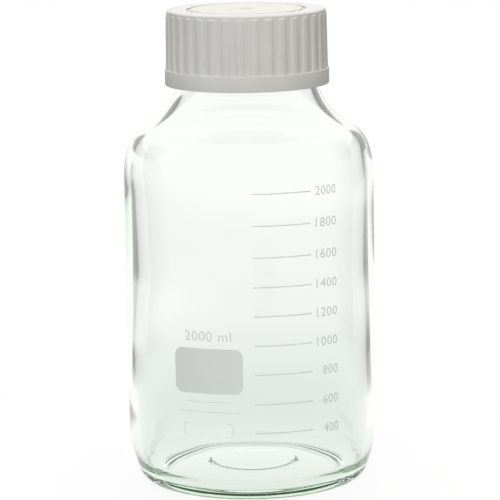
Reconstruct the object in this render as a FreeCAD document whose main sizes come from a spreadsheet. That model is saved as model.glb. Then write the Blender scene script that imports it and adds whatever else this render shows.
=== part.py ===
import FreeCAD, Part
import math
import os

import Sketcher

# Wide-mouth laboratory bottle of borosilicate glass with its screw cap.
# The base stands on Z = 0, the axis is Z, and the printed front faces -Y.
# Lengths are millimetres and angles are degrees.

NUMBERS = {
    # Glass body
    "body_radius": 68.0,
    "wall": 4.5,
    "standing_inset": 15.25,
    "foot_half_width": 0.75,
    "foot_inner_radius": 8.0,
    "push_up": 6.0,
    "base_thickness": 5.5,
    "floor_corner_radius": 12.0,
    "heel_corner_radius": 10.0,
    "heel_height": 36.0,
    # Shoulder and neck, with heights counted down from the rim
    "rim_height": 254.0,
    "shoulder_drop": 86.2,
    "shoulder_blend_radius": 56.0,
    "shoulder_blend_rise": 14.7,
    "shoulder_radius": 22.0,
    "neck_flare_radius": 30.0,
    "neck_radius": 37.75,
    # Rim with the groove that the pouring ring snaps into
    "rim_edge": 0.8,
    "rim_bead_step": 1.15,
    "ring_groove_depth": 0.8,
    "ring_groove_height": 2.6,
    "ring_groove_slope": 0.7,
    "ring_seat_drop": 6.7,
    # Pouring ring
    "ring_clearance": 0.2,
    "ring_top_drop": 0.2,
    "ring_lip_overhang": 0.35,
    "ring_lip_height": 1.2,
    # Sealing disc
    "disc_overhang": 0.3,
    "disc_thickness": 2.0,
    "disc_edge": 0.3,
    "disc_clearance": 0.2,
    "disc_play": 0.2,
    # Screw cap, whose bore leaves room for the ridges of both threads
    "thread_room": 2.8,
    "cap_top_thickness": 2.3,
    "cap_wall": 2.35,
    "cap_edge_radius": 1.1,
    "cap_skirt_drop": 35.9,
    "cap_mouth_depth": 4.4,
    "cap_mouth_step": 1.4,
    "collar_thickness": 1.0,
    "collar_depth": 1.7,
    "band_height": 8.6,
    "band_step": 1.55,
    "band_edge": 0.5,
    "top_rim_width": 10.5,
    "top_groove_width": 1.9,
    "top_groove_depth": 0.6,
    "gate_radius": 3.2,
    "gate_depth": 0.6,
    # Grip ribs
    "rib_count": 35,
    "rib_width": 5.0,
    "rib_depth_low": 0.95,
    "rib_depth_high": 0.5,
    "rib_round": 0.7,
    "rib_top_drop": 1.5,
    "rib_root_sink": 0.4,
}

doc = FreeCAD.newDocument("ScrewCapBottle")
sheet = doc.addObject("Spreadsheet::Sheet", "Sizes")
for row, (word, number) in enumerate(NUMBERS.items(), start=1):
    sheet.set(f"A{row}", word)
    sheet.set(f"B{row}", str(number))
    sheet.setAlias(f"B{row}", word)
doc.recompute()
size = {word: float(getattr(sheet, word)) for word in NUMBERS}

# Heights and radii that several pieces share, as sums of the sheet's words
STANDING_RADIUS = "body_radius - standing_inset"
SHOULDER_START = "rim_height - shoulder_drop"
RIM_BEAD = "neck_radius - rim_bead_step"
RING_GROOVE = RIM_BEAD + " - ring_groove_depth"
RING_SEAT = "rim_height - ring_seat_drop"
DISC_RADIUS = RIM_BEAD + " + disc_overhang"
DISC_TOP = "rim_height + disc_thickness"
CAP_UNDERSIDE = DISC_TOP + " + disc_play"
CAP_TOP = CAP_UNDERSIDE + " + cap_top_thickness"
CAP_BOTTOM = "rim_height - cap_skirt_drop"
CAP_LEDGE = CAP_BOTTOM + " + band_height"
CAP_BORE = "neck_radius + thread_room"
CAP_SIDE = CAP_BORE + " + cap_wall"
CAP_BAND = CAP_SIDE + " + band_step"
COLLAR_BORE = DISC_RADIUS + " + disc_clearance"
TOP_GROOVE = CAP_SIDE + " - top_rim_width"


def total(words):
    """The number that a written sum of sheet words comes to."""
    result = 0.0
    sign = 1
    for word in words.split():
        if word in ("+", "-"):
            sign = 1 if word == "+" else -1
        else:
            result += sign * (size[word] if word in size else float(word))
    return result


def formula(words):
    """The same sum as an expression that reads the sheet."""
    return " ".join(f"Sizes.{word}" if word in size else word for word in words.split())


def origin_feature(body, role):
    return next(item for item in body.Origin.OriginFeatures if item.Role == role)


class Outline:
    """A closed sketch drawn edge by edge, across (radius) and up (height).

    A corner written as two sums of sheet words is held at that place. A corner given as
    two numbers is only a first guess, which tangency and the neighbouring sizes settle.
    """

    def __init__(self, body, name, role="XZ_Plane"):
        self.sketch = body.newObject("Sketcher::SketchObject", name)
        self.sketch.AttachmentSupport = [(origin_feature(body, role), "")]
        self.sketch.MapMode = "FlatFace"
        self.last = None

    def start(self, across, up):
        self.first_place = self.place = (total(across), total(up))
        self.first_words = (across, up)

    def guess(self, corner):
        return tuple(total(item) if isinstance(item, str) else item for item in corner)

    def constrain(self, *parts, words=None):
        index = self.sketch.addConstraint(Sketcher.Constraint(*parts))
        if words is not None:
            self.sketch.renameConstraint(index, f"size{index}")
            self.sketch.setExpression(f"Constraints.size{index}", formula(words))

    def hold(self, end, across, up):
        """Keep an edge's end at a place given in sheet words."""
        for words, kind, axis in ((across, "DistanceX", -2), (up, "DistanceY", -1)):
            if words == "0":
                self.constrain("PointOnObject", *end, axis)
            else:
                self.constrain(kind, -1, 1, *end, total(words), words=words)

    def join(self, edge, near, far, corner, smooth):
        if self.last is None:
            self.first = (edge, near)
            self.hold(self.first, *self.first_words)
        else:
            self.constrain("Tangent" if smooth else "Coincident", *self.last, edge, near)
        self.last = (edge, far)
        self.place = self.guess(corner)
        if isinstance(corner[0], str):
            self.hold(self.last, *corner)
        return edge

    def line(self, across, up, smooth=False, upright=False):
        """A straight edge to the next corner, upright if only its length is free."""
        end = self.guess((across, up))
        edge = self.sketch.addGeometry(Part.LineSegment(
            FreeCAD.Vector(*self.place, 0), FreeCAD.Vector(*end, 0)))
        if upright:
            self.constrain("Vertical", edge)
        return self.join(edge, 1, 2, (across, up), smooth)

    def arc(self, corner, centre, radius=None, smooth=False, around=None):
        """A circular edge. Its radius is a sum of sheet words, or its centre is another arc's."""
        end = self.guess(corner)
        middle = self.guess(centre)
        begin_angle = math.atan2(self.place[1] - middle[1], self.place[0] - middle[0])
        end_angle = math.atan2(end[1] - middle[1], end[0] - middle[0])
        leftward = math.sin(end_angle - begin_angle) > 0
        angles = (begin_angle, end_angle) if leftward else (end_angle, begin_angle)
        circle = Part.Circle(FreeCAD.Vector(*middle, 0), FreeCAD.Vector(0, 0, 1),
                             math.dist(end, middle))
        edge = self.sketch.addGeometry(Part.ArcOfCircle(circle, *angles))
        if around is not None:
            self.constrain("Coincident", edge, 3, around, 3)
        if radius is not None:
            self.constrain("Radius", edge, total(radius), words=radius)
        return self.join(edge, 1 if leftward else 2, 2 if leftward else 1, corner, smooth)

    def close(self):
        """A straight edge back to the first corner, or none where the last edge ended there."""
        if math.dist(self.place, self.first_place) > 1e-6:
            edge = self.sketch.addGeometry(Part.LineSegment(
                FreeCAD.Vector(*self.place, 0), FreeCAD.Vector(*self.first_place, 0)))
            self.constrain("Coincident", *self.last, edge, 1)
            self.last = (edge, 2)
        self.constrain("Coincident", *self.last, *self.first)
        return self.sketch


def new_body(name):
    body = doc.addObject("PartDesign::Body", name)
    body.Label = name
    return body


def revolve(body, outline, name):
    """Turn a half-section through a full circle about the bottle's axis."""
    feature = body.newObject("PartDesign::Revolution", name)
    feature.Profile = outline
    feature.ReferenceAxis = (outline, ["V_Axis"])
    feature.Angle = 360
    return feature


def repeat_round(body, features, count, name):
    """Copy features at equal angles about the bottle's axis."""
    pattern = body.newObject("PartDesign::PolarPattern", name)
    pattern.Originals = features
    pattern.Axis = (origin_feature(body, "Z_Axis"), [""])
    pattern.Angle = 360
    pattern.setExpression("Occurrences", formula(count))
    body.Tip = pattern
    return pattern


# Curves of the glass, worked out from the driving sizes as first guesses for the sketch

def circle_meeting(first, first_radius, second, second_radius, side):
    """The crossing of two circles that lies to the left (1) or right (-1) of first to second."""
    gap = math.dist(first, second)
    along = (first_radius ** 2 - second_radius ** 2 + gap ** 2) / (2 * gap)
    off = side * math.sqrt(first_radius ** 2 - along ** 2)
    step = ((second[0] - first[0]) / gap, (second[1] - first[1]) / gap)
    return (first[0] + along * step[0] - off * step[1], first[1] + along * step[1] + off * step[0])


def towards(start, goal, distance):
    """The place that lies a distance from start on the line through goal."""
    reach = distance / math.dist(start, goal)
    return (start[0] + reach * (goal[0] - start[0]), start[1] + reach * (goal[1] - start[1]))


wall = size["wall"]
foot_inner = total(STANDING_RADIUS + " - foot_half_width")
foot_outer = total(STANDING_RADIUS + " + foot_half_width")

# The push-up under the base is a shallow dome centred on the axis
dome_radius = ((foot_inner ** 2 + size["push_up"] ** 2) / (2 * size["push_up"])
               - size["foot_inner_radius"])
dome_centre = (0.0, size["push_up"] - dome_radius)
foot_inner_centre = (foot_inner, size["foot_inner_radius"])

# The heel is a small corner arc that runs into a long, nearly flat one
corner_radius = size["heel_corner_radius"]
inset = size["body_radius"] - foot_outer
rise = size["heel_height"] - corner_radius
blend_radius = (inset ** 2 + rise ** 2 - corner_radius ** 2) / (2 * (inset - corner_radius))
heel_centre = (size["body_radius"] - blend_radius, size["heel_height"])
corner_centre = (foot_outer, corner_radius)

# The shoulder runs from a long arc into a tight one, then the neck flares the other way
shoulder_low = total(SHOULDER_START)
blend_centre = (total("body_radius - shoulder_blend_radius"), shoulder_low)
blend_angle = math.asin(size["shoulder_blend_rise"] / size["shoulder_blend_radius"])
blend_end = (blend_centre[0] + size["shoulder_blend_radius"] * math.cos(blend_angle),
             shoulder_low + size["shoulder_blend_rise"])
shoulder_centre = towards(blend_end, blend_centre, size["shoulder_radius"])
flare_across = total("neck_radius + neck_flare_radius")
flare_up = shoulder_centre[1] + math.sqrt(
    total("shoulder_radius + neck_flare_radius") ** 2 - (flare_across - shoulder_centre[0]) ** 2)
flare_centre = (flare_across, flare_up)

# The floor's corner touches the floor dome outside it and the inner heel inside it
floor_radius = dome_radius + size["base_thickness"]
floor_corner = size["floor_corner_radius"]
floor_corner_centre = circle_meeting(
    dome_centre, floor_radius + floor_corner,
    heel_centre, blend_radius - wall - floor_corner, -1)


# Bottle

bottle = new_body("bottle")
glass = Outline(bottle, "glass_section")
glass.start("0", "push_up")
dome = glass.arc(towards(dome_centre, foot_inner_centre, dome_radius), dome_centre)
glass.constrain("PointOnObject", dome, 3, -2)
glass.arc((STANDING_RADIUS + " - foot_half_width", "0"), foot_inner_centre,
          radius="foot_inner_radius", smooth=True)
glass.line(STANDING_RADIUS + " + foot_half_width", "0", smooth=True)
glass.arc(towards(heel_centre, corner_centre, blend_radius), corner_centre,
          radius="heel_corner_radius", smooth=True)
heel = glass.arc(("body_radius", "heel_height"), heel_centre, smooth=True)
glass.line("body_radius", SHOULDER_START, smooth=True)
shoulder_blend = glass.arc(blend_end, blend_centre, radius="shoulder_blend_radius", smooth=True)
glass.constrain("DistanceY", -1, 1, *glass.last, blend_end[1],
                words=SHOULDER_START + " + shoulder_blend_rise")
shoulder = glass.arc(towards(shoulder_centre, flare_centre, size["shoulder_radius"]),
                     shoulder_centre, radius="shoulder_radius", smooth=True)
flare = glass.arc((size["neck_radius"], flare_up), flare_centre,
                  radius="neck_flare_radius", smooth=True)
glass.line("neck_radius", RING_SEAT, smooth=True, upright=True)
glass.line(RING_GROOVE, RING_SEAT)
glass.line(RING_GROOVE, RING_SEAT + " + ring_groove_height")
glass.line(RIM_BEAD, RING_SEAT + " + ring_groove_height + ring_groove_slope")
glass.line(RIM_BEAD, "rim_height - rim_edge")
glass.line(RIM_BEAD + " - rim_edge", "rim_height")
glass.line("neck_radius - wall + rim_edge", "rim_height")
glass.line("neck_radius - wall", "rim_height - rim_edge")
glass.line(size["neck_radius"] - wall, flare_up, upright=True)
glass.arc(towards(flare_centre, shoulder_centre, size["neck_flare_radius"] + wall), flare_centre,
          smooth=True, around=flare)
glass.arc(towards(shoulder_centre, blend_end, size["shoulder_radius"] - wall), shoulder_centre,
          smooth=True, around=shoulder)
glass.arc((size["body_radius"] - wall, shoulder_low), blend_centre,
          smooth=True, around=shoulder_blend)
glass.line(size["body_radius"] - wall, size["heel_height"], smooth=True, upright=True)
glass.arc(towards(heel_centre, floor_corner_centre, blend_radius - wall), heel_centre,
          smooth=True, around=heel)
glass.arc(towards(dome_centre, floor_corner_centre, floor_radius), floor_corner_centre,
          radius="floor_corner_radius", smooth=True)
glass.arc(("0", "push_up + base_thickness"), dome_centre, smooth=True, around=dome)
revolve(bottle, glass.close(), "glass_wall")


# Pouring ring, snapped into the groove under the rim

pouring_ring = new_body("pouring_ring")
ring = Outline(pouring_ring, "ring_section")
ring.start(RING_GROOVE + " + ring_clearance", RING_SEAT)
ring.line("neck_radius", RING_SEAT)
ring.line("neck_radius", "rim_height - ring_top_drop - ring_lip_height")
ring.line("neck_radius + ring_lip_overhang", "rim_height - ring_top_drop")
ring.line(RIM_BEAD + " + ring_clearance", "rim_height - ring_top_drop")
ring.line(RIM_BEAD + " + ring_clearance",
          RING_SEAT + " + ring_groove_height + ring_groove_slope - ring_clearance")
ring.line(RING_GROOVE + " + ring_clearance",
          RING_SEAT + " + ring_groove_height - ring_clearance")
revolve(pouring_ring, ring.close(), "ring_band")


# Sealing disc, flat on the rim

sealing_disc = new_body("sealing_disc")
disc = Outline(sealing_disc, "disc_section")
disc.start("0", "rim_height")
disc.line(DISC_RADIUS + " - disc_edge", "rim_height")
disc.line(DISC_RADIUS, "rim_height + disc_edge")
disc.line(DISC_RADIUS, DISC_TOP + " - disc_edge")
disc.line(DISC_RADIUS + " - disc_edge", DISC_TOP)
disc.line("0", DISC_TOP)
revolve(sealing_disc, disc.close(), "disc_layers")


# Screw cap

screw_cap = new_body("screw_cap")
shell = Outline(screw_cap, "shell_section")
shell.start("0", CAP_UNDERSIDE)
shell.line(COLLAR_BORE, CAP_UNDERSIDE)
shell.line(COLLAR_BORE, CAP_UNDERSIDE + " - collar_depth")
shell.line(COLLAR_BORE + " + collar_thickness", CAP_UNDERSIDE + " - collar_depth")
shell.line(COLLAR_BORE + " + collar_thickness", CAP_UNDERSIDE)
shell.line(CAP_BORE, CAP_UNDERSIDE)
shell.line(CAP_BORE, CAP_BOTTOM + " + cap_mouth_depth + cap_mouth_step")
shell.line(CAP_BORE + " + cap_mouth_step", CAP_BOTTOM + " + cap_mouth_depth")
shell.line(CAP_BORE + " + cap_mouth_step", CAP_BOTTOM)
shell.line(CAP_BAND + " - band_edge", CAP_BOTTOM)
shell.line(CAP_BAND, CAP_BOTTOM + " + band_edge")
shell.line(CAP_BAND, CAP_LEDGE + " - band_edge")
shell.line(CAP_BAND + " - band_edge", CAP_LEDGE)
shell.line(CAP_SIDE, CAP_LEDGE)
shell.line(CAP_SIDE, CAP_TOP + " - cap_edge_radius")
shell.arc((CAP_SIDE + " - cap_edge_radius", CAP_TOP),
          (CAP_SIDE + " - cap_edge_radius", CAP_TOP + " - cap_edge_radius"),
          radius="cap_edge_radius")
shell.line(TOP_GROOVE, CAP_TOP)
shell.line(TOP_GROOVE, CAP_TOP + " - top_groove_depth")
shell.line(TOP_GROOVE + " - top_groove_width", CAP_TOP + " - top_groove_depth")
shell.line(TOP_GROOVE + " - top_groove_width", CAP_TOP)
shell.line("gate_radius", CAP_TOP)
gate_curve = (size["gate_radius"] ** 2 + size["gate_depth"] ** 2) / (2 * size["gate_depth"])
gate = shell.arc(("0", CAP_TOP + " - gate_depth"),
                 (0.0, total(CAP_TOP + " - gate_depth") + gate_curve))
shell.constrain("PointOnObject", gate, 3, -2)
revolve(screw_cap, shell.close(), "cap_shell")

# Grip ribs, drafted to the top and rounded off under the top edge
RIB_TOP = CAP_TOP + " - rib_top_drop"
RIB_CREST = CAP_SIDE + " + rib_depth_high"
rib = Outline(screw_cap, "rib_side")
rib.start(CAP_SIDE + " - rib_root_sink", CAP_LEDGE)
rib.line(CAP_SIDE + " + rib_depth_low", CAP_LEDGE)
rib.line(RIB_CREST, RIB_TOP + " - rib_round")
rib.arc((RIB_CREST + " - rib_round", RIB_TOP),
        (RIB_CREST + " - rib_round", RIB_TOP + " - rib_round"), radius="rib_round")
rib.line(CAP_SIDE + " - rib_root_sink", RIB_TOP)
rib_pad = screw_cap.newObject("PartDesign::Pad", "rib_bar")
rib_pad.Profile = rib.close()
rib_pad.SideType = "Symmetric"
rib_pad.Length = size["rib_width"]
rib_pad.setExpression("Length", formula("rib_width"))
doc.recompute()
repeat_round(screw_cap, [rib_pad], "rib_count", "rib_ring")


# Check every object, then write one file for each piece

doc.recompute()
for item in doc.Objects:
    if "Invalid" in item.State or "Error" in item.State:
        raise RuntimeError(f"{item.Label} did not build: {item.State}")
os.makedirs("parts", exist_ok=True)
for body in (bottle, pouring_ring, sealing_disc, screw_cap):
    if body.Shape.isNull() or not body.Shape.isValid() or len(body.Shape.Solids) != 1:
        raise RuntimeError(f"{body.Label} is not one valid solid")
    body.Shape.exportStep(os.path.join("parts", body.Label + ".step"))
    print(body.Label, round(body.Shape.Volume / 1000, 2), "cm3", body.Shape.BoundBox)
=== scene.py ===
"""Looks of a wide-mouth laboratory bottle with a ribbed screw cap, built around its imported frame.

Shapes are worked out in millimetres about the bottle's axis, with the printed front facing -Y,
and turned into metres where a mesh is made.
"""
import math

import bmesh
import bpy
import numpy as np
from mathutils import Matrix, Vector


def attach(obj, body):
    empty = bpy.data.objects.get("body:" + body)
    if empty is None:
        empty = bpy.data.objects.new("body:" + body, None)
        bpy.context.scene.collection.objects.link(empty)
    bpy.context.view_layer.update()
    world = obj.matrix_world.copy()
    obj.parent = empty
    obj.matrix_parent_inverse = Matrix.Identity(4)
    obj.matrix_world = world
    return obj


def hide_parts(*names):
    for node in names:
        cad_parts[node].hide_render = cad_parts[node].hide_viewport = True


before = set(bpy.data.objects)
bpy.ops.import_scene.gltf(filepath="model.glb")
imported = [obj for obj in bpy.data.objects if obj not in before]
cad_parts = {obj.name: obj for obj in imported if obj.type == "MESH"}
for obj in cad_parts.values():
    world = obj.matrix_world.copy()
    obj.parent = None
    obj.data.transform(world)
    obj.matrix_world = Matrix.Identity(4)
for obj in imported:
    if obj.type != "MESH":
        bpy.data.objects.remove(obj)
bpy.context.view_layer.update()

MM = 0.001
FRONT = -90.0
TOUCH = 0.01  # lengths this close count as equal

# Glass body
BODY_RADIUS = 68.0
WALL = 4.5
FOOT_INNER = 52.0
FOOT_OUTER = 53.5
FOOT_INNER_ROUND = 8.0
PUSH_UP = 6.0
MOULD_RADIUS = 23.5
MOULD_WIDTH = 1.1
MOULD_DEPTH = 0.6
MOULD_REACH = 3.0
UNDERSIDE_RADIUS = 40.0
UNDERSIDE_HEIGHT = 10.0
BASE_THICKNESS = 5.5
FLOOR_CORNER = 12.0
HEEL_CORNER = 10.0
HEEL_HEIGHT = 36.0
RIM_HEIGHT = 254.0
SHOULDER_START = 167.8
SHOULDER_BLEND = 56.0
SHOULDER_BLEND_RISE = 14.7
SHOULDER_RADIUS = 22.0
NECK_FLARE = 30.0
NECK_RADIUS = 37.75
NECK_FOOT = 215.0
EASE_LOW = 186.0
EASE_HIGH = 222.0
EASE_FADE = 8.0
RIM_EDGE = 0.8
RIM_BEAD = 36.6
RING_GROOVE = 35.8
RING_SEAT = 247.3
SEAT_ROUND = 0.3
RING_GROOVE_TOP = 249.9
RING_GROOVE_SLOPE = 0.7
BOTTLE_COLUMNS = 280

# Uneven wall of the blown glass, in thickness: even all round, and leaning towards +X
LONG_SWELL = 1.8
LONG_LEAN = -0.3
LONG_FOOT = 72.0
LONG_RISE = 48.0
LONG_END = 195.0
LONG_FALL = 90.0
SHORT_SWELLS = (  # middle height, width, even part, leaning part
    (52, 24, -0.3, 0.2),
    (72, 26, 0.2, 0.3),
    (174, 12, 0.1, 0.4),
)
RIPPLE = 0.12
RIPPLE_WAVES = 9
RIPPLE_SLANT = 2.5
RIPPLE_HEIGHT = 30.0
RIPPLE_WIDTH = 10.0
HEEL_FADE_START = 24.0
HEEL_FADE = 20.0

# Thread ridges of glass and cap
THREAD_STARTS = 3
THREAD_LEAD = 18.0
THREAD_HEIGHT = 2.05
THREAD_ROOT = 1.9
THREAD_CREST = 0.8
NECK_THREAD_START = 229.0
NECK_THREAD_SWEEP = 150.0
CAP_THREAD_START = 226.35
CAP_THREAD_SWEEP = 130.0

# Pouring ring and sealing disc
RING_CLEARANCE = 0.2
RING_ROUND = 0.15
RING_FOOT_ROUND = 0.25
LIP_REACH = 0.35
LIP_HEIGHT = 1.2
LIP_EDGE = 0.2
DISC_RADIUS = 36.9
DISC_THICKNESS = 2.0
DISC_EDGE = 0.3
DISC_MARK_INNER = 30.0
DISC_MARK_OUTER = 31.2
DISC_MARK_DEPTH = 0.12
DISC_MARK_SLOPE = 0.3
RING_COLUMNS = 180

# Screw cap
CAP_TOP = 258.5
CAP_UNDERSIDE = 256.2
CAP_BOTTOM = 218.1
CAP_LEDGE = 226.7
CAP_BORE = 40.55
CAP_THREAD_TOP = 236.0
CAP_SIDE = 42.9
CAP_BAND = 44.45
CAP_EDGE = 1.1
BAND_EDGE = 0.5
MOUTH_STEP = 1.4
MOUTH_DEPTH = 4.4
COLLAR_INNER = 37.1
COLLAR_OUTER = 38.1
COLLAR_DEPTH = 1.7
GROOVE_OUTER = 32.6
GROOVE_INNER = 30.2
GROOVE_DEPTH = 1.2
GROOVE_EDGE = 0.12
GROOVE_SLOPE = 0.03
GATE_RADIUS = 4.4
GATE_DEPTH = 1.7
GATE_FLAT = 2.4
GATE_RIM = 0.3
RIB_COUNT = 35
RIB_GROOVE_ANGLE = 0.5
RIB_HALF = 2.75
RIB_DEPTH_LOW = 0.95
RIB_DEPTH_HIGH = 0.5
RIB_TOP = 257.0
RIB_CORNER = 1.7
RIB_CORNER_ROWS = 2.3  # how far below the ribs' tops the cap's rows lie closer together
RIB_FLANK = 1.1
RIB_STATIONS = (0, 0.55, 0.95, 1.2, 1.45, 1.75, 2.5)

# Printed scale: the height of each mark above the base, and places along the curved front
SCALE_MARKS = {400: 39.3, 600: 54.9, 800: 70.9, 1000: 86.5, 1200: 102.3,
               1400: 117.9, 1600: 133.7, 1800: 150.6, 2000: 167.6}
MARK_LEFT = 1.2
MARK_RIGHT = 33.3
MARK_WIDTH = 0.6
NUMBER_RIGHT = 50.0
NUMBER_HEIGHT = 4.9
DIGIT_PITCH = 3.45
DIGIT_GAP = 0.4
PRINT_THICKNESS = 0.06
PRINT_GAP = 0.01
FIELD = (-43.5, -4.8, 60.4, 84.8)  # left, right, low, high
FIELD_CORNER = 4.4
LINES = ((-37.2, -10.9, 55.9, 56.2), (-41.8, -5.7, 50.3, 50.6))
FRAME = (-38.3, -10.3, 37.2, 44.3)
FRAME_CORNER = 1.5
FRAME_WIDTH = 0.35
FRAME_GAP = (-34.6, -14.0)
VOLUME_LEFT = -37.0
VOLUME_MIDDLE = 91.5
VOLUME_HEIGHT = 5.3
VOLUME_WIDTH = 26.2

# Floor
FLOOR_RINGS = (300.0, 1200.0, 4000.0)
FLOOR_LEVEL = -0.05

# Studio, in metres
BOTTLE_MIDDLE = (0.0, 0.0, 0.13)
CAMERA_PLACE = (0, -1.5961, 0.4085)
CAMERA_DOWN = 10.03
CAMERA_ROLL = -0.967
CAMERA_LENS = 213.3
CAMERA_SENSOR = 36.0


def linear(code):
    """The linear colour that a shader takes for an sRGB hex value."""
    share = np.array([int(code[place:place + 2], 16) for place in (1, 3, 5)]) / 255
    light = np.where(share <= 0.04045, share / 12.92, ((share + 0.055) / 1.055) ** 2.4)
    return (*light.tolist(), 1.0)


def add(tree, kind, inputs=None, **settings):
    """One node with its settings, and each input set to a value or linked to a socket."""
    node = tree.nodes.new(kind)
    for name, value in settings.items():
        setattr(node, name, value)
    for name, value in (inputs or {}).items():
        if isinstance(value, bpy.types.NodeSocket):
            tree.links.new(value, node.inputs[name])
        else:
            node.inputs[name].default_value = value
    return node


def new_material(name):
    """An empty material and its node tree."""
    material = bpy.data.materials.new(name)
    material.use_nodes = True
    material.node_tree.nodes.clear()
    return material, material.node_tree


# Profiles are points (radius, height) in millimetres

def arc(centre, radius, start, end, steps):
    """Points on a circle about centre, at even angles in degrees from start to end."""
    turn = np.radians(np.linspace(start, end, steps))
    return np.column_stack((centre[0] + radius * np.cos(turn), centre[1] + radius * np.sin(turn)))


def run(start, end, steps):
    """Points at even steps along a straight line, with its two ends."""
    return np.linspace(start, end, steps)


def join(*sections):
    """One profile from sections that follow each other, without their doubled ends."""
    points = np.vstack(sections)
    keep = np.ones(len(points), bool)
    keep[1:] = np.hypot(*np.diff(points, axis=0).T) > 1e-4
    return points[keep]


def revolve(profile, angles, swell=0.0):
    """Grid of points: each profile point at every angle about Z, its radius grown by swell."""
    turn = np.radians(angles)[None, :]
    radius = profile[:, :1] + swell
    height = np.broadcast_to(profile[:, 1:], (len(profile), len(angles)))
    return np.stack((radius * np.cos(turn), radius * np.sin(turn), height), axis=-1)


def surface(name, grid, material, ring=False):
    """A closed mesh from a grid whose columns run round the axis.

    Rows follow the profile with the solid on their left. The first and last rows shrink to
    one point each on the axis, or with ring the last row runs on into the first.
    """
    rows, columns = grid.shape[:2]
    if ring:
        points = grid.reshape(-1, 3)
        index = np.arange(rows * columns).reshape(rows, columns)
        lower, upper = index, np.roll(index, -1, axis=0)
        fans = []
    else:
        points = np.vstack((grid[1:-1].reshape(-1, 3), grid[0].mean(0), grid[-1].mean(0)))
        index = np.arange((rows - 2) * columns).reshape(rows - 2, columns)
        lower, upper = index[:-1], index[1:]
        first, last = len(points) - 2, len(points) - 1
        fans = np.vstack((
            np.column_stack((np.full(columns, first), np.roll(index[0], -1), index[0])),
            np.column_stack((np.full(columns, last), index[-1], np.roll(index[-1], -1))),
        )).tolist()
    quads = np.stack((lower, np.roll(lower, -1, axis=1), np.roll(upper, -1, axis=1), upper),
                     axis=-1).reshape(-1, 4)
    return piece(name, points, quads.tolist() + fans, material)


def piece(name, points, faces, material, crease=40.0):
    """An object at the origin with its place in its mesh, smooth but for edges past crease."""
    mesh = bpy.data.meshes.new(name)
    mesh.from_pydata((np.asarray(points) * MM).tolist(), [], faces)
    mesh.materials.append(material)
    mesh.shade_smooth()
    mesh.set_sharp_from_angle(angle=math.radians(crease))
    thing = bpy.data.objects.new(name, mesh)
    bpy.context.scene.collection.objects.link(thing)
    return thing


def smooth_step(share):
    """0 below 0, 1 above 1, and an even S curve between."""
    share = np.clip(share, 0.0, 1.0)
    return share * share * (3.0 - 2.0 * share)


def thread_ridges(radius, heights, angles, start, sweep):
    """How far a thread stands out at each height and angle.

    Each ridge is a line that climbs one lead a turn in the unrolled plane. Its section is a
    flat crest with sloped flanks, by distance from that line, so its ends come out round.
    """
    across = np.radians(angles)[None, :] * radius
    along = np.array((math.radians(sweep) * radius, THREAD_LEAD * sweep / 360))
    length = np.hypot(*along)
    nearest = np.full((len(heights), len(angles)), np.inf)
    for ridge in range(THREAD_STARTS):
        for turn in (-1, 0, 1):
            left = math.radians(360 * (ridge / THREAD_STARTS + turn)) * radius
            dx = across - left
            dz = (np.asarray(heights) - start)[:, None]
            share = np.clip((dx * along[0] + dz * along[1]) / length ** 2, 0, 1)
            gap = np.hypot(dx - share * along[0], dz - share * along[1])
            nearest = np.minimum(nearest, gap)
    return THREAD_HEIGHT * smooth_step((THREAD_ROOT - nearest) / (THREAD_ROOT - THREAD_CREST))


# Materials

def borosilicate_glass():
    """Blown and fire-polished borosilicate glass.

    Clear and bright, and faintly green where light runs a long way through it. It lets the
    studio light past, so that its shadow stays pale.
    """
    material, tree = new_material("borosilicate_glass")
    glass = add(tree, "ShaderNodeBsdfPrincipled", {
        "Base Color": (1, 1, 1, 1), "Roughness": 0.0, "IOR": 1.473, "Transmission Weight": 1.0})
    clear = add(tree, "ShaderNodeBsdfTransparent", {"Color": linear("#f4f8f5")})
    path = add(tree, "ShaderNodeLightPath")
    mix = add(tree, "ShaderNodeMixShader", {
        0: path.outputs["Is Shadow Ray"], 1: glass.outputs[0], 2: clear.outputs[0]})
    tint = add(tree, "ShaderNodeVolumeAbsorption", {"Color": linear("#a4eca6"), "Density": 4.5})
    add(tree, "ShaderNodeOutputMaterial", {
        "Surface": mix.outputs[0], "Volume": tint.outputs[0]})
    return material


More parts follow.
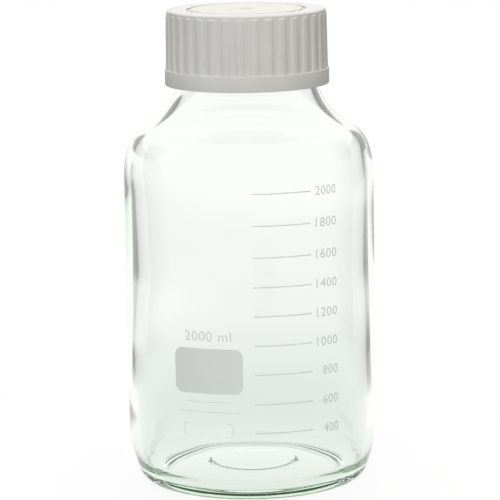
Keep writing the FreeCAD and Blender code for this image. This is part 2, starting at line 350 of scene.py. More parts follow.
def moulded_polypropylene(name, colours, grain):
    """Injection-moulded polypropylene: a soft satin with the fine pits of a spark-eroded mould.

    The grain is in millimetres, coarser than the real pits so that it shows in the render.
    Round the axis, in the gate's dimple where the plastic came in, the colour is painted greyer as
    shade.
    """
    material, tree = new_material(name)
    place = add(tree, "ShaderNodeTexCoord").outputs["Object"]
    pits = add(tree, "ShaderNodeTexNoise", {
        "Vector": place, "Scale": 1 / (grain * MM), "Detail": 3.0, "Roughness": 0.6})
    cloud = add(tree, "ShaderNodeTexNoise", {
        "Vector": place, "Scale": 1 / (14 * MM), "Detail": 2.0})
    shade = add(tree, "ShaderNodeMapRange", {
        "Value": cloud.outputs["Fac"], "From Min": 0.3, "From Max": 0.7})
    plain = add(tree, "ShaderNodeMix", {
        "Factor": shade.outputs[0], "A": linear(colours[0]), "B": linear(colours[1])},
        data_type="RGBA")
    flat = add(tree, "ShaderNodeVectorMath", {0: place, 1: (1, 1, 0)}, operation="MULTIPLY")
    reach = add(tree, "ShaderNodeVectorMath", {0: flat.outputs[0]}, operation="LENGTH")
    # Painted shade: the colour turns greyer round the axis, in the gate's dimple, greyest at its
    # middle
    gate_painted_shade = add(tree, "ShaderNodeMapRange", {
        "Value": reach.outputs["Value"], "From Min": 1.5 * MM, "From Max": 5 * MM})
    tone = add(tree, "ShaderNodeMix", {
        "Factor": gate_painted_shade.outputs[0], "A": linear("#bcbbb6"), "B": plain.outputs["Result"]},
        data_type="RGBA")
    satin = add(tree, "ShaderNodeMapRange", {
        "Value": pits.outputs["Fac"], "From Min": 0.3, "From Max": 0.7,
        "To Min": 0.56, "To Max": 0.68})
    relief = add(tree, "ShaderNodeBump", {
        "Height": pits.outputs["Fac"], "Strength": 0.25, "Distance": 0.02 * MM})
    plastic = add(tree, "ShaderNodeBsdfPrincipled", {
        "Base Color": tone.outputs["Result"], "Roughness": satin.outputs[0], "IOR": 1.49,
        "Normal": relief.outputs["Normal"]})
    add(tree, "ShaderNodeOutputMaterial", {"Surface": plastic.outputs[0]})
    return material


def fired_enamel():
    """Screen-printed glass enamel, fired on: pale, matt and slightly uneven in cover."""
    material, tree = new_material("fired_enamel")
    place = add(tree, "ShaderNodeTexCoord").outputs["Object"]
    speckle = add(tree, "ShaderNodeTexNoise", {
        "Vector": place, "Scale": 1 / (0.35 * MM), "Detail": 2.0})
    shade = add(tree, "ShaderNodeMapRange", {
        "Value": speckle.outputs["Fac"], "From Min": 0.35, "From Max": 0.65})
    tone = add(tree, "ShaderNodeMix", {
        "Factor": shade.outputs[0], "A": linear("#ebf1ed"), "B": linear("#f1f6f3")},
        data_type="RGBA")
    enamel = add(tree, "ShaderNodeBsdfPrincipled", {
        "Base Color": tone.outputs["Result"], "Roughness": 0.6, "IOR": 1.5})
    add(tree, "ShaderNodeOutputMaterial", {"Surface": enamel.outputs[0]})
    return material


def coated_silicone():
    """Moulded silicone with a thin slick facing: off-white, with a soft and cloudy sheen."""
    material, tree = new_material("coated_silicone")
    place = add(tree, "ShaderNodeTexCoord").outputs["Object"]
    cloud = add(tree, "ShaderNodeTexNoise", {
        "Vector": place, "Scale": 1 / (3 * MM), "Detail": 3.0})
    sheen = add(tree, "ShaderNodeMapRange", {
        "Value": cloud.outputs["Fac"], "To Min": 0.28, "To Max": 0.4})
    rubber = add(tree, "ShaderNodeBsdfPrincipled", {
        "Base Color": linear("#dbd8cf"), "Roughness": sheen.outputs[0], "IOR": 1.41})
    add(tree, "ShaderNodeOutputMaterial", {"Surface": rubber.outputs[0]})
    return material


# Bottle

def glass_profiles():
    """The bottle's outer and inner half-sections, from the axis at the base up and back down."""
    dome_radius = (FOOT_INNER ** 2 + PUSH_UP ** 2) / (2 * PUSH_UP) - FOOT_INNER_ROUND
    dome = (0.0, PUSH_UP - dome_radius)
    dome_end = math.degrees(math.atan2(FOOT_INNER_ROUND - dome[1], FOOT_INNER))
    groove_start = math.degrees(math.acos((MOULD_RADIUS - MOULD_REACH) / dome_radius))
    groove_end = math.degrees(math.acos((MOULD_RADIUS + MOULD_REACH) / dome_radius))
    inset = BODY_RADIUS - FOOT_OUTER
    rise = HEEL_HEIGHT - HEEL_CORNER
    heel_radius = (inset ** 2 + rise ** 2 - HEEL_CORNER ** 2) / (2 * (inset - HEEL_CORNER))
    heel = (BODY_RADIUS - heel_radius, HEEL_HEIGHT)
    heel_angle = -math.degrees(math.asin(rise / (heel_radius - HEEL_CORNER)))
    blend = (BODY_RADIUS - SHOULDER_BLEND, SHOULDER_START)
    blend_angle = math.degrees(math.asin(SHOULDER_BLEND_RISE / SHOULDER_BLEND))
    reach = SHOULDER_BLEND - SHOULDER_RADIUS
    shoulder = (blend[0] + reach * math.cos(math.radians(blend_angle)),
                blend[1] + reach * math.sin(math.radians(blend_angle)))
    flare_across = NECK_RADIUS + NECK_FLARE
    span = SHOULDER_RADIUS + NECK_FLARE
    climb = math.sqrt(span ** 2 - (flare_across - shoulder[0]) ** 2)
    flare = (flare_across, shoulder[1] + climb)
    flare_angle = math.degrees(math.atan2(climb, flare_across - shoulder[0]))

    outer = join(
        arc(dome, dome_radius, 90, groove_start, 5),
        arc(dome, dome_radius, groove_start, groove_end, 20),
        arc(dome, dome_radius, groove_end, dome_end, 8),
        arc((FOOT_INNER, FOOT_INNER_ROUND), FOOT_INNER_ROUND, dome_end + 180, 270, 5),
        run((FOOT_INNER, 0), (FOOT_OUTER, 0), 2),
        arc((FOOT_OUTER, HEEL_CORNER), HEEL_CORNER, -90, heel_angle, 14),
        arc(heel, heel_radius, heel_angle, 0, 8),
        run((BODY_RADIUS, HEEL_HEIGHT), (BODY_RADIUS, SHOULDER_START), 4),
        arc(blend, SHOULDER_BLEND, 0, blend_angle, 7),
        arc(shoulder, SHOULDER_RADIUS, blend_angle, flare_angle, 26),
        arc(flare, NECK_FLARE, flare_angle + 180, 180, 32),
        run((NECK_RADIUS, flare[1]), (NECK_RADIUS, RING_SEAT - SEAT_ROUND), 62),
        arc((NECK_RADIUS - SEAT_ROUND, RING_SEAT - SEAT_ROUND), SEAT_ROUND, 0, 90, 3),
        run((RING_GROOVE + SEAT_ROUND, RING_SEAT), (RING_GROOVE, RING_SEAT + SEAT_ROUND), 2),
        run((RING_GROOVE, RING_GROOVE_TOP), (RIM_BEAD, RING_GROOVE_TOP + RING_GROOVE_SLOPE), 3),
        arc((RIM_BEAD - RIM_EDGE, RIM_HEIGHT - RIM_EDGE), RIM_EDGE, 0, 90, 6))
    inner = join(
        arc((NECK_RADIUS - WALL + RIM_EDGE, RIM_HEIGHT - RIM_EDGE), RIM_EDGE, 90, 180, 6),
        run((NECK_RADIUS - WALL, RIM_HEIGHT - RIM_EDGE), (NECK_RADIUS - WALL, flare[1]), 3),
        arc(flare, NECK_FLARE + WALL, 180, flare_angle + 180, 32),
        arc(shoulder, SHOULDER_RADIUS - WALL, flare_angle, blend_angle, 26),
        arc(blend, SHOULDER_BLEND - WALL, blend_angle, 0, 7),
        run((BODY_RADIUS - WALL, SHOULDER_START), (BODY_RADIUS - WALL, HEEL_HEIGHT), 38),
        heel_and_floor(dome, dome_radius + BASE_THICKNESS, heel, heel_radius - WALL))
    return ease_shoulder(outer), ease_shoulder(inner)


def ease_shoulder(profile):
    """The profile with the bend between shoulder and neck softened, as blown glass has it.

    Each point there moves to the mean of the points next to it, less so towards the ends of
    the stretch.
    """
    reach = 5
    even = np.ones(2 * reach + 1) / (2 * reach + 1)
    mean = np.column_stack([np.convolve(np.pad(side, reach, mode="edge"), even, "valid")
                            for side in profile.T])
    height = profile[:, 1:]
    share = (smooth_step((height - EASE_LOW) / EASE_FADE)
             * smooth_step((EASE_HIGH - height) / EASE_FADE))
    return profile + share * (mean - profile)


def heel_and_floor(dome, floor_radius, heel, inner_heel_radius):
    """The inner heel, the floor's corner that touches both, and the floor's dome to the axis."""
    first = floor_radius + FLOOR_CORNER
    second = inner_heel_radius - FLOOR_CORNER
    gap = math.dist(dome, heel)
    along = (first ** 2 - second ** 2 + gap ** 2) / (2 * gap)
    off = math.sqrt(first ** 2 - along ** 2)
    step = ((heel[0] - dome[0]) / gap, (heel[1] - dome[1]) / gap)
    corner = (dome[0] + along * step[0] + off * step[1], dome[1] + along * step[1] - off * step[0])
    heel_end = math.degrees(math.atan2(corner[1] - heel[1], corner[0] - heel[0]))
    dome_end = math.degrees(math.atan2(corner[1] - dome[1], corner[0] - dome[0]))
    return join(
        arc(heel, inner_heel_radius, 0, heel_end, 8),
        arc(corner, FLOOR_CORNER, heel_end, dome_end - 180, 12),
        arc(dome, floor_radius, dome_end, 90, 12))


def wall_change(heights, angles):
    """How much thicker than the plain wall the blown glass is, in millimetres.

    One long swell that comes and goes by an S curve in height, three bell curves in height,
    each with a part that leans to one side, and a slanting ripple round the heel.
    """
    turn = np.cos(np.radians(angles))[None, :]
    height = heights[:, None]
    long = ((LONG_SWELL + LONG_LEAN * turn) * smooth_step((height - LONG_FOOT) / LONG_RISE)
            * smooth_step((LONG_END - height) / LONG_FALL))
    short = sum((even + lean * turn) * np.exp(-((height - middle) / width) ** 2)
                for middle, width, even, lean in SHORT_SWELLS)
    wave = np.cos(np.radians(RIPPLE_WAVES * angles[None, :] + RIPPLE_SLANT * height))
    ripple = RIPPLE * wave * np.exp(-((height - RIPPLE_HEIGHT) / RIPPLE_WIDTH) ** 2)
    return long + ripple + short


def make_bottle(material):
    """Outer and inner half-sections turned about the axis, with thread ridges on the neck.

    Under the base the mould leaves a shallow groove, a bell curve across a circle's front
    half. The inner wall is moved along its own slope's normal by the change in thickness.
    """
    angles = np.linspace(0, 360, BOTTLE_COLUMNS, endpoint=False) + FRONT
    outer, inner = glass_profiles()
    ridges = thread_ridges(NECK_RADIUS, outer[:, 1], angles, NECK_THREAD_START,
                           NECK_THREAD_SWEEP)
    on_neck = (outer[:, 0] > NECK_RADIUS - TOUCH) & (outer[:, 1] > NECK_FOOT)
    outside = revolve(outer, angles, ridges * on_neck[:, None])
    under = (outer[:, 0] < UNDERSIDE_RADIUS) & (outer[:, 1] < UNDERSIDE_HEIGHT)
    groove = np.exp(-((outer[under, 0] - MOULD_RADIUS) / MOULD_WIDTH) ** 2)[:, None]
    front_half = smooth_step(0.3 + 1.2 * np.cos(np.radians(angles - FRONT)))
    outside[under, :, 2] += MOULD_DEPTH * groove * front_half
    slope = np.gradient(inner, axis=0)
    slope /= np.hypot(*slope.T)[:, None]
    change = wall_change(inner[:, 1], angles)
    change *= smooth_step((inner[:, 1:] - HEEL_FADE_START) / HEEL_FADE)
    radius = inner[:, :1] + slope[:, 1:] * change
    height = inner[:, 1:] - slope[:, :1] * change
    turn = np.radians(angles)[None, :]
    inside = np.stack((radius * np.cos(turn), radius * np.sin(turn), height), axis=-1)
    return surface("bottle_glass", np.concatenate((outside, inside)), material)


# Pouring ring and sealing disc

def make_pouring_ring(material):
    """A small closed section with softened corners and a lip, turned about the axis."""
    inner = RING_GROOVE + RING_CLEARANCE
    bead = RIM_BEAD + RING_CLEARANCE
    top = RIM_HEIGHT - RING_CLEARANCE
    foot, edge = RING_FOOT_ROUND, RING_ROUND
    lip = NECK_RADIUS + LIP_REACH
    slope_low = RING_GROOVE_TOP - RING_CLEARANCE
    slope_high = slope_low + RING_GROOVE_SLOPE
    section = join(
        run((inner + edge, RING_SEAT), (NECK_RADIUS - foot, RING_SEAT), 3),
        arc((NECK_RADIUS - foot, RING_SEAT + foot), foot, -90, 0, 4),
        run((NECK_RADIUS, RING_SEAT + foot), (NECK_RADIUS, top - LIP_HEIGHT), 4),
        run((NECK_RADIUS, top - LIP_HEIGHT), (lip, top - LIP_EDGE), 4),
        arc((lip - LIP_EDGE, top - LIP_EDGE), LIP_EDGE, 0, 90, 4),
        run((lip - LIP_EDGE, top), (bead + edge, top), 3),
        arc((bead + edge, top - edge), edge, 90, 180, 3),
        run((bead, top - edge), (bead, slope_high), 4),
        run((bead, slope_high), (inner, slope_low), 4),
        run((inner, slope_low), (inner, RING_SEAT + edge), 4))
    angles = np.linspace(0, 360, RING_COLUMNS, endpoint=False)
    return surface("pouring_ring_band", revolve(section, angles), material, ring=True)


def make_sealing_disc(material):
    """A flat disc with rounded edges and a faint pressed ring on its underside."""
    low, high, edge = RIM_HEIGHT, RIM_HEIGHT + DISC_THICKNESS, DISC_EDGE
    section = join(
        run((0, low), (DISC_MARK_INNER, low), 8),
        run((DISC_MARK_INNER + DISC_MARK_SLOPE, low + DISC_MARK_DEPTH),
            (DISC_MARK_OUTER - DISC_MARK_SLOPE, low + DISC_MARK_DEPTH), 2),
        run((DISC_MARK_OUTER, low), (DISC_RADIUS - edge, low), 4),
        arc((DISC_RADIUS - edge, low + edge), edge, -90, 0, 5),
        arc((DISC_RADIUS - edge, high - edge), edge, 0, 90, 5),
        run((DISC_RADIUS - edge, high), (0, high), 8))
    angles = np.linspace(0, 360, RING_COLUMNS, endpoint=False)
    return surface("sealing_disc_layers", revolve(section, angles), material)


# Screw cap

def rib_angles():
    """Column angles, packed closer at each rib's flanks than on its flat and in the groove."""
    stations = np.array(RIB_STATIONS)
    pitch = 2 * math.pi * CAP_SIDE / RIB_COUNT
    one = np.concatenate((stations, (pitch / 2,), pitch - stations[:0:-1]))
    starts = np.arange(RIB_COUNT) * pitch
    across = (starts[:, None] + one[None, :]).ravel()
    return FRONT + RIB_GROOVE_ANGLE + np.degrees(across / CAP_SIDE)


def rib_relief(heights, angles):
    """How far the grip ribs stand out of the cap's side.

    Distance to a rounded box in the unrolled plane, whose foot runs into the ledge, turned
    into a height by an S curve over the flank, and deeper towards the band.
    """
    pitch = 360 / RIB_COUNT
    from_groove = np.mod(angles - FRONT - RIB_GROOVE_ANGLE, pitch)
    across = np.abs(from_groove - pitch / 2) * math.radians(1) * CAP_SIDE
    beyond_side = across - (RIB_HALF - RIB_CORNER)
    above = np.asarray(heights) - (RIB_TOP - RIB_CORNER)
    outside = np.hypot(np.maximum(beyond_side[None, :], 0), np.maximum(above[:, None], 0))
    within = np.minimum(np.maximum(beyond_side[None, :], above[:, None]), 0)
    distance = outside + within - RIB_CORNER
    depth = np.interp(heights, (CAP_LEDGE, RIB_TOP), (RIB_DEPTH_LOW, RIB_DEPTH_HIGH))
    return depth[:, None] * smooth_step(-distance / RIB_FLANK)


def cap_profiles():
    """Half-sections of the cap: its top and outside from the axis down, then its inside back up."""
    bowl = np.linspace(0, GATE_RADIUS, 12)
    gate = np.column_stack((bowl, CAP_TOP - GATE_DEPTH * smooth_step(
        (GATE_RADIUS - bowl) / (GATE_RADIUS - GATE_FLAT))))
    side_top = CAP_TOP - CAP_EDGE
    rib_round = RIB_TOP - RIB_CORNER_ROWS
    outside = join(
        gate,
        run((GATE_RADIUS + GATE_RIM, CAP_TOP), (GROOVE_INNER - GROOVE_EDGE, CAP_TOP), 6),
        arc((GROOVE_INNER - GROOVE_EDGE, CAP_TOP - GROOVE_EDGE), GROOVE_EDGE, 90, 0, 4),
        run((GROOVE_INNER + GROOVE_SLOPE, CAP_TOP - GROOVE_DEPTH),
            (GROOVE_OUTER - GROOVE_SLOPE, CAP_TOP - GROOVE_DEPTH), 4),
        arc((GROOVE_OUTER + GROOVE_EDGE, CAP_TOP - GROOVE_EDGE), GROOVE_EDGE, 180, 90, 4),
        run((GROOVE_OUTER + GROOVE_EDGE, CAP_TOP), (CAP_SIDE - CAP_EDGE, CAP_TOP), 4),
        arc((CAP_SIDE - CAP_EDGE, side_top), CAP_EDGE, 90, 0, 7),
        run((CAP_SIDE, side_top), (CAP_SIDE, rib_round), 16),
        run((CAP_SIDE, rib_round), (CAP_SIDE, CAP_LEDGE), 10),
        arc((CAP_BAND - BAND_EDGE, CAP_LEDGE - BAND_EDGE), BAND_EDGE, 90, 0, 5),
        arc((CAP_BAND - BAND_EDGE, CAP_BOTTOM + BAND_EDGE), BAND_EDGE, 0, -90, 5))
    mouth = CAP_BORE + MOUTH_STEP
    mouth_end = CAP_BOTTOM + MOUTH_DEPTH
    inside = join(
        run((mouth, CAP_BOTTOM), (mouth, mouth_end), 3),
        run((mouth, mouth_end), (CAP_BORE, mouth_end + MOUTH_STEP), 3),
        run((CAP_BORE, mouth_end + MOUTH_STEP), (CAP_BORE, CAP_THREAD_TOP), 32),
        run((CAP_BORE, CAP_THREAD_TOP), (CAP_BORE, CAP_UNDERSIDE), 6),
        run((COLLAR_OUTER, CAP_UNDERSIDE), (COLLAR_OUTER, CAP_UNDERSIDE - COLLAR_DEPTH), 3),
        run((COLLAR_INNER, CAP_UNDERSIDE - COLLAR_DEPTH), (COLLAR_INNER, CAP_UNDERSIDE), 3),
        run((COLLAR_INNER, CAP_UNDERSIDE), (0, CAP_UNDERSIDE), 4))
    return outside, inside


def make_cap(material):
    """The cap's half-section turned about the axis, grown by ribs outside and a thread inside."""
    angles = rib_angles()
    outside, inside = cap_profiles()
    on_side = (np.abs(outside[:, 0] - CAP_SIDE) < TOUCH) & (outside[:, 1] > CAP_LEDGE - TOUCH)
    ribs = rib_relief(outside[:, 1], angles) * on_side[:, None]
    ridges = thread_ridges(CAP_BORE, inside[:, 1], angles, CAP_THREAD_START, CAP_THREAD_SWEEP)
    on_bore = np.abs(inside[:, 0] - CAP_BORE) < TOUCH
    grid = np.concatenate((revolve(outside, angles, ribs),
                           revolve(inside, angles, -ridges * on_bore[:, None])))
    return surface("cap", grid[::-1], material)


# Print

def on_front(flat, lift):
    """Places on the curved front: across becomes an angle about the axis, up stays the height."""
    turn = math.radians(FRONT) + flat[:, 0] / BODY_RADIUS
    radius = BODY_RADIUS + lift
    return np.column_stack((radius * np.cos(turn), radius * np.sin(turn), flat[:, 1]))


def bar(left, right, low, high):
    """Grid of a printed rectangle, with a step every 2 mm so that it follows the curve."""
    across = np.linspace(left, right, max(2, int((right - left) / 2) + 1))
    return np.stack(np.meshgrid(across, (low, high), indexing="ij"), axis=-1)


def rounded_field(left, right, low, high, corner):
    """Grid of a filled rectangle whose columns stop on the corner circles."""
    middle = (left + right) / 2
    half = (right - left) / 2
    across = middle + half * np.sin(np.radians(np.linspace(-90, 90, 41)))
    past = np.maximum(np.abs(across - middle) - (half - corner), 0)
    drop = corner - np.sqrt(np.maximum(corner ** 2 - past ** 2, 0))
    share = np.linspace(0, 1, 9)[None, :]
    up = (low + drop)[:, None] * (1 - share) + (high - drop)[:, None] * share
    return np.stack((np.broadcast_to(across[:, None], up.shape), up), axis=-1)


def frame_line(left, right, low, high, corner, width, gap):
    """Grid of a thin frame that is open along part of its top.

    Corner arcs of two radii follow each other from the gap's left end round to its right end,
    and a straight line joins each to the next.
    """
    first = np.array((90, 180, 270, 0))
    turn = np.radians(first[:, None] + np.linspace(0, 90, 6)[None, :]).ravel()
    middle = np.repeat(((left + corner, high - corner), (left + corner, low + corner),
                        (right - corner, low + corner), (right - corner, high - corner)),
                       6, axis=0)
    aim = np.column_stack((np.cos(turn), np.sin(turn)))
    edges = np.stack((middle + aim * corner, middle + aim * (corner - width)), axis=1)
    ends = np.array([((across, high), (across, high - width)) for across in gap])
    return np.concatenate((ends[:1], edges, ends[1:]))


def sheet_on_front(flat):
    """A thin closed sheet: a grid of flat places laid on the front twice, with walls between.

    Across runs with the first index and up with the second.
    """
    rows, columns = flat.shape[:2]
    places = flat.reshape(-1, 2)
    points = np.vstack((on_front(places, PRINT_THICKNESS), on_front(places, PRINT_GAP)))
    index = np.arange(rows * columns).reshape(rows, columns)
    front = np.stack((index[:-1, :-1], index[1:, :-1], index[1:, 1:], index[:-1, 1:]),
                     axis=-1).reshape(-1, 4)
    edge = np.concatenate((index[:, 0], index[-1, 1:], index[-2::-1, -1], index[0, -2:0:-1]))
    size = rows * columns
    walls = np.column_stack((edge, edge + size, np.roll(edge, -1) + size, np.roll(edge, -1)))
    return points, np.vstack((front, front[:, ::-1] + size, walls))


def lettering(words, height, middle, width, left=None, right=None):
    """Words as a thin solid mesh laid round the front, by their left or right edge."""
    curve = bpy.data.curves.new("lettering", "FONT")
    curve.body = words
    curve.size = 1.0
    curve.extrude = 0.02
    curve.resolution_u = 4
    curve.space_character = 1.08
    letter = bpy.data.objects.new("lettering", curve)
    bpy.context.scene.collection.objects.link(letter)
    bpy.context.view_layer.update()
    mesh = bpy.data.meshes.new_from_object(
        letter.evaluated_get(bpy.context.evaluated_depsgraph_get()))
    shape = bmesh.new()
    shape.from_mesh(mesh)
    bmesh.ops.remove_doubles(shape, verts=shape.verts, dist=1e-5)
    shape.to_mesh(mesh)
    shape.free()
    points = np.empty(len(mesh.vertices) * 3)
    mesh.vertices.foreach_get("co", points)
    points = points.reshape(-1, 3)
    faces = [list(face.vertices) for face in mesh.polygons]
    bpy.data.objects.remove(letter)
    bpy.data.curves.remove(curve)
    bpy.data.meshes.remove(mesh)
    low, high = points.min(0), points.max(0)
    across = (points[:, 0] - low[0]) * (width / (high[0] - low[0]))
    across += left if left is not None else right - across.max()
    up = (points[:, 1] - low[1]) * (height / (high[1] - low[1])) + middle - height / 2
    lift = np.where(points[:, 2] > 0, PRINT_THICKNESS, PRINT_GAP)
    return on_front(np.column_stack((across, up)), lift), faces


def make_print(material):
    """Every printed mark, laid round the front and gathered into one mesh."""
    flats = [bar(MARK_LEFT, MARK_RIGHT, height - MARK_WIDTH / 2, height + MARK_WIDTH / 2)
             for height in SCALE_MARKS.values()]
    flats.append(rounded_field(*FIELD, FIELD_CORNER))
    flats += [bar(*line) for line in LINES]
    flats.append(frame_line(*FRAME, FRAME_CORNER, FRAME_WIDTH, FRAME_GAP))
    parts = [sheet_on_front(flat) for flat in flats]
    parts += [lettering(str(volume), NUMBER_HEIGHT, right=NUMBER_RIGHT, middle=height,
                        width=DIGIT_PITCH * len(str(volume)) - DIGIT_GAP)
              for volume, height in SCALE_MARKS.items()]
    parts.append(lettering("2000 ml", VOLUME_HEIGHT, left=VOLUME_LEFT, middle=VOLUME_MIDDLE,
                           width=VOLUME_WIDTH))
    points = np.vstack([part[0] for part in parts])
    starts = np.cumsum([0] + [len(part[0]) for part in parts[:-1]])
    faces = [(np.asarray(face) + start).tolist()
             for start, part in zip(starts, parts) for face in part[1]]
    return piece("scale_print", points, faces, material, crease=30.0)


glass = borosilicate_glass()
cap_plastic = moulded_polypropylene("cap_polypropylene", ("#dcdbd6", "#e0dfda"), 0.18)
ring_plastic = moulded_polypropylene("ring_polypropylene", ("#e2e3e0", "#e6e7e4"), 0.25)
enamel = fired_enamel()
silicone = coated_silicone()

bottle = make_bottle(glass)
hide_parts("bottle")
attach(bottle, "bottle")

ring = make_pouring_ring(ring_plastic)
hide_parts("pouring_ring")
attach(ring, "bottle")

disc = make_sealing_disc(silicone)
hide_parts("sealing_disc")
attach(disc, "seal")

cap = make_cap(cap_plastic)
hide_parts("screw_cap")
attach(cap, "cap")

scale = make_print(enamel)
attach(scale, "bottle")


# Studio

def seen_colour(tree, direction, distance=None):
    """How the surroundings look to a ray, by its direction and the way that it has come.

    Straight to the camera, and through the glass, they are white. The floor, which also gives
    its distance from the bottle, carries a painted shadow of the bottle for rays through the
    glass: it is a little greyer and greener near the bottle. Right below the bottle painted light,
    as if it came down through the glass, makes it lighter. A reflection towards the front
    shows a dimmer room. Light that was thrown back once inside the glass can look past the
    sides of the white sheet behind the bottle, into the dark room, which draws the thin dark
    lines along the walls and the dark marks on the shoulder.
    """
    path = add(tree, "ShaderNodeLightPath")
    aim = add(tree, "ShaderNodeSeparateXYZ", {0: direction})
    side = add(tree, "ShaderNodeMath", {0: aim.outputs["X"]}, operation="ABSOLUTE")

    # Past the sheet's sides: faint far off, and dark where the floor is near
    dark = add(tree, "ShaderNodeMapRange", {
        "Value": side.outputs[0], "From Min": 0.55, "From Max": 0.585, "To Max": 0.12})
    if distance is not None:
        closer = add(tree, "ShaderNodeMapRange", {
            "Value": distance, "From Min": 0.5, "From Max": 0.85, "To Min": 8.5, "To Max": 4.0})
        dark = add(tree, "ShaderNodeMath", {
            0: dark.outputs[0], 1: closer.outputs[0]}, operation="MULTIPLY")

    # The dark corners of the room, above the horizon and leaning to the right
    rise = add(tree, "ShaderNodeVectorMath", {
        0: direction, 1: (0.14, 0, 1)}, operation="DOT_PRODUCT")
    over = add(tree, "ShaderNodeMapRange", {
        "Value": rise.outputs["Value"], "From Min": -0.03, "From Max": 0.02})
    corner = add(tree, "ShaderNodeMapRange", {
        "Value": side.outputs[0], "From Min": 0.27, "From Max": 0.33})
    corner = add(tree, "ShaderNodeMath", {
        0: corner.outputs[0], 1: over.outputs[0]}, operation="MULTIPLY")
    under = add(tree, "ShaderNodeMapRange", {
        "Value": aim.outputs["Z"], "From Min": 0.26, "From Max": 0.31,
        "To Min": 1.0, "To Max": 0.0})
    corner = add(tree, "ShaderNodeMath", {
        0: corner.outputs[0], 1: under.outputs[0]}, operation="MULTIPLY")
    dark = add(tree, "ShaderNodeMath", {
        0: dark.outputs[0], 1: corner.outputs[0]}, operation="MAXIMUM")

    # Only behind the bottle, not steeply down, and only for light thrown back just once
    behind = add(tree, "ShaderNodeMapRange", {
        "Value": aim.outputs["Y"], "From Min": 0.15, "From Max": 0.5, "To Max": 0.88})
    above = add(tree, "ShaderNodeMapRange", {
        "Value": aim.outputs["Z"], "From Min": -0.42, "From Max": -0.3})
    thrown = add(tree, "ShaderNodeMath", {
        0: path.outputs["Glossy Depth"], 1: 1.0, 2: 0.5}, operation="COMPARE")
    for limit in (behind, above, thrown):
        dark = add(tree, "ShaderNodeMath", {
            0: dark.outputs[0], 1: limit.outputs[0]}, operation="MULTIPLY")

    # Paper tones: painted shadow, greyer near the bottle unless light was thrown back, and painted
    # light below it, lighter
    white = (1, 1, 1, 1)
    paper = white
    if distance is not None:
        away = add(tree, "ShaderNodeMapRange", {
            "Value": distance, "From Min": 0.2, "From Max": 0.85})
        away = add(tree, "ShaderNodeMath", {
            0: away.outputs[0], 1: path.outputs["Glossy Depth"]},
            operation="MAXIMUM", use_clamp=True)
        near = add(tree, "ShaderNodeMix", {
            "Factor": away.outputs[0], "A": linear("#e1e7e3"), "B": white}, data_type="RGBA")
        below = add(tree, "ShaderNodeMapRange", {
            "Value": distance, "From Min": 0.06, "From Max": 0.16})
        paper = add(tree, "ShaderNodeMix", {
            "Factor": below.outputs[0], "A": linear("#e7eee8"), "B": near.outputs["Result"]},
            data_type="RGBA").outputs["Result"]

    through = add(tree, "ShaderNodeMix", {
        "Factor": dark.outputs[0], "A": paper, "B": (0, 0, 0, 1)}, data_type="RGBA")
    room = add(tree, "ShaderNodeMapRange", {
        "Value": aim.outputs["Y"], "From Min": -0.3, "From Max": 0.3, "To Min": 0.8})
    glossy = add(tree, "ShaderNodeMix", {
        "Factor": path.outputs["Is Glossy Ray"], "A": 1.0, "B": room.outputs[0]})
    seen = add(tree, "ShaderNodeMix", {
        "Factor": path.outputs["Is Transmission Ray"], "A": glossy.outputs["Result"],
        "B": through.outputs["Result"]}, data_type="RGBA")
    return path, seen.outputs["Result"]


def pale_floor():
    """Matt white paper.

    Rays that look at it see it white, except through the glass, where its glow shows the painted
    shadow and painted light near the bottle. Light that bounces off it finds it greyer, and it
    keeps the bottle's shadow close to the bottle.
    """
    material, tree = new_material("floor_paper")
    place = add(tree, "ShaderNodeTexCoord").outputs["Object"]
    distance = add(tree, "ShaderNodeVectorMath", {0: place}, operation="LENGTH")
    from_bottle = add(tree, "ShaderNodeVectorMath", {
        0: place, 1: BOTTLE_MIDDLE}, operation="SUBTRACT")
    direction = add(tree, "ShaderNodeVectorMath", {
        0: from_bottle.outputs[0]}, operation="NORMALIZE")
    path, colour = seen_colour(tree, direction.outputs[0], distance.outputs["Value"])
    looks = add(tree, "ShaderNodeMath", {
        0: path.outputs["Is Camera Ray"], 1: path.outputs["Is Glossy Ray"]}, operation="ADD")
    looks = add(tree, "ShaderNodeMath", {
        0: looks.outputs[0], 1: path.outputs["Is Transmission Ray"]},
        operation="ADD", use_clamp=True)
    plain = add(tree, "ShaderNodeMapRange", {
        "Value": distance.outputs["Value"], "From Min": 0.1, "From Max": 0.25, "To Min": 0.8})
    plain = add(tree, "ShaderNodeMath", {
        0: plain.outputs[0], 1: path.outputs["Is Transmission Ray"]}, operation="MAXIMUM")
    share = add(tree, "ShaderNodeMath", {
        0: looks.outputs[0], 1: plain.outputs[0]}, operation="MULTIPLY")
    bounce = add(tree, "ShaderNodeMix", {
        "Factor": path.outputs["Is Diffuse Ray"], "A": linear("#fdfdfc"),
        "B": linear("#8e8e8c")}, data_type="RGBA")
    paper = add(tree, "ShaderNodeBsdfDiffuse", {"Color": bounce.outputs["Result"]})
    # The glow shows the painted shadow and painted light near the bottle to rays through the glass
    glow = add(tree, "ShaderNodeEmission", {"Color": colour, "Strength": 1.0})
    mix = add(tree, "ShaderNodeMixShader", {
        0: share.outputs[0], 1: paper.outputs[0], 2: glow.outputs[0]})
    add(tree, "ShaderNodeOutputMaterial", {"Surface": mix.outputs[0]})
    return material


def make_floor():
    """A flat round sheet of paper as wide as the light needs, made of rings and spokes."""
    spokes = 64
    radius = np.array(FLOOR_RINGS)[:, None]
    turn = np.radians(np.linspace(0, 360, spokes, endpoint=False))[None, :]
    grid = np.stack((radius * np.cos(turn), radius * np.sin(turn),
                     np.broadcast_to(FLOOR_LEVEL, (len(radius), spokes))), axis=-1)
    index = np.arange(len(radius) * spokes).reshape(-1, spokes)
    points = np.vstack((grid.reshape(-1, 3), (0, 0, FLOOR_LEVEL)))
    quads = np.stack((index[:-1], index[1:], np.roll(index[1:], -1, axis=1),
                      np.roll(index[:-1], -1, axis=1)), axis=-1).reshape(-1, 4)
    fan = np.column_stack((np.full(spokes, len(points) - 1), index[0], np.roll(index[0], -1)))
    return piece("floor", points, quads.tolist() + fan.tolist(), pale_floor())


make_floor()


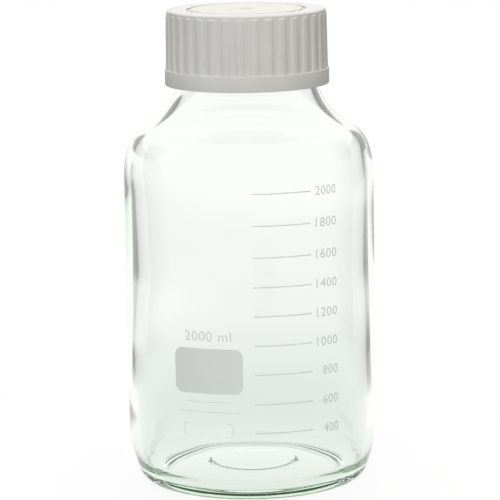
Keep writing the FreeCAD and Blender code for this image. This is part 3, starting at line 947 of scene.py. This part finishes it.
def light_world():
    """Even studio light: white where it is looked at, softer where it lights the object."""
    world = bpy.data.worlds.new("studio")
    bpy.context.scene.world = world
    world.use_nodes = True
    tree = world.node_tree
    tree.nodes.clear()
    direction = add(tree, "ShaderNodeTexCoord").outputs["Generated"]
    path, colour = seen_colour(tree, direction)
    strength = add(tree, "ShaderNodeMapRange", {
        "Value": path.outputs["Is Diffuse Ray"], "To Min": 1.0, "To Max": 0.28})
    sky = add(tree, "ShaderNodeBackground", {"Color": colour, "Strength": strength.outputs[0]})
    add(tree, "ShaderNodeOutputWorld", {"Surface": sky.outputs[0]})


def area_lamp(name, place, target, size, power, colour):
    """A square soft lamp that points from its place to a target and shows in no reflection."""
    lamp = bpy.data.lights.new(name, "AREA")
    lamp.size = size
    lamp.energy = power
    lamp.color = linear(colour)[:3]
    holder = bpy.data.objects.new(name, lamp)
    turn = (Vector(target) - Vector(place)).to_track_quat("-Z", "Y")
    holder.matrix_world = Matrix.Translation(place) @ turn.to_matrix().to_4x4()
    holder.visible_glossy = False
    holder.visible_transmission = False
    bpy.context.scene.collection.objects.link(holder)


light_world()
area_lamp("soft_top", (0.0, 0.1, 1.6), (0, 0, 0.2), 1.0, 13, "#ffffff")
area_lamp("soft_front", (-0.25, -1.7, 0.8), (0, 0, 0.18), 0.8, 15, "#fcfdff")
area_lamp("soft_right", (1.4, -0.5, 0.5), (0, 0, 0.15), 0.7, 1.1, "#ffe0b4")
area_lamp("soft_back", (0.2, 1.7, 0.7), (0, 0, 0.18), 0.8, 8, "#fcfdff")


def photo_camera():
    """The fitted viewpoint: 1.6 m in front, looking 10 degrees down, with a slight tilt."""
    camera = bpy.data.cameras.new("camera")
    camera.sensor_width = CAMERA_SENSOR
    camera.lens = CAMERA_LENS
    holder = bpy.data.objects.new("camera", camera)
    holder.matrix_world = (Matrix.Translation(CAMERA_PLACE)
                           @ Matrix.Rotation(math.radians(90 - CAMERA_DOWN), 4, "X")
                           @ Matrix.Rotation(math.radians(CAMERA_ROLL), 4, "Z"))
    bpy.context.scene.collection.objects.link(holder)
    bpy.context.scene.camera = holder


photo_camera()
bpy.context.scene.view_settings.view_transform = "Standard"

# Light that runs along inside the thick heel is thrown back many times before it gets out
paths = bpy.context.scene.cycles
paths.max_bounces = 32
paths.glossy_bounces = 24
paths.transmission_bounces = 32
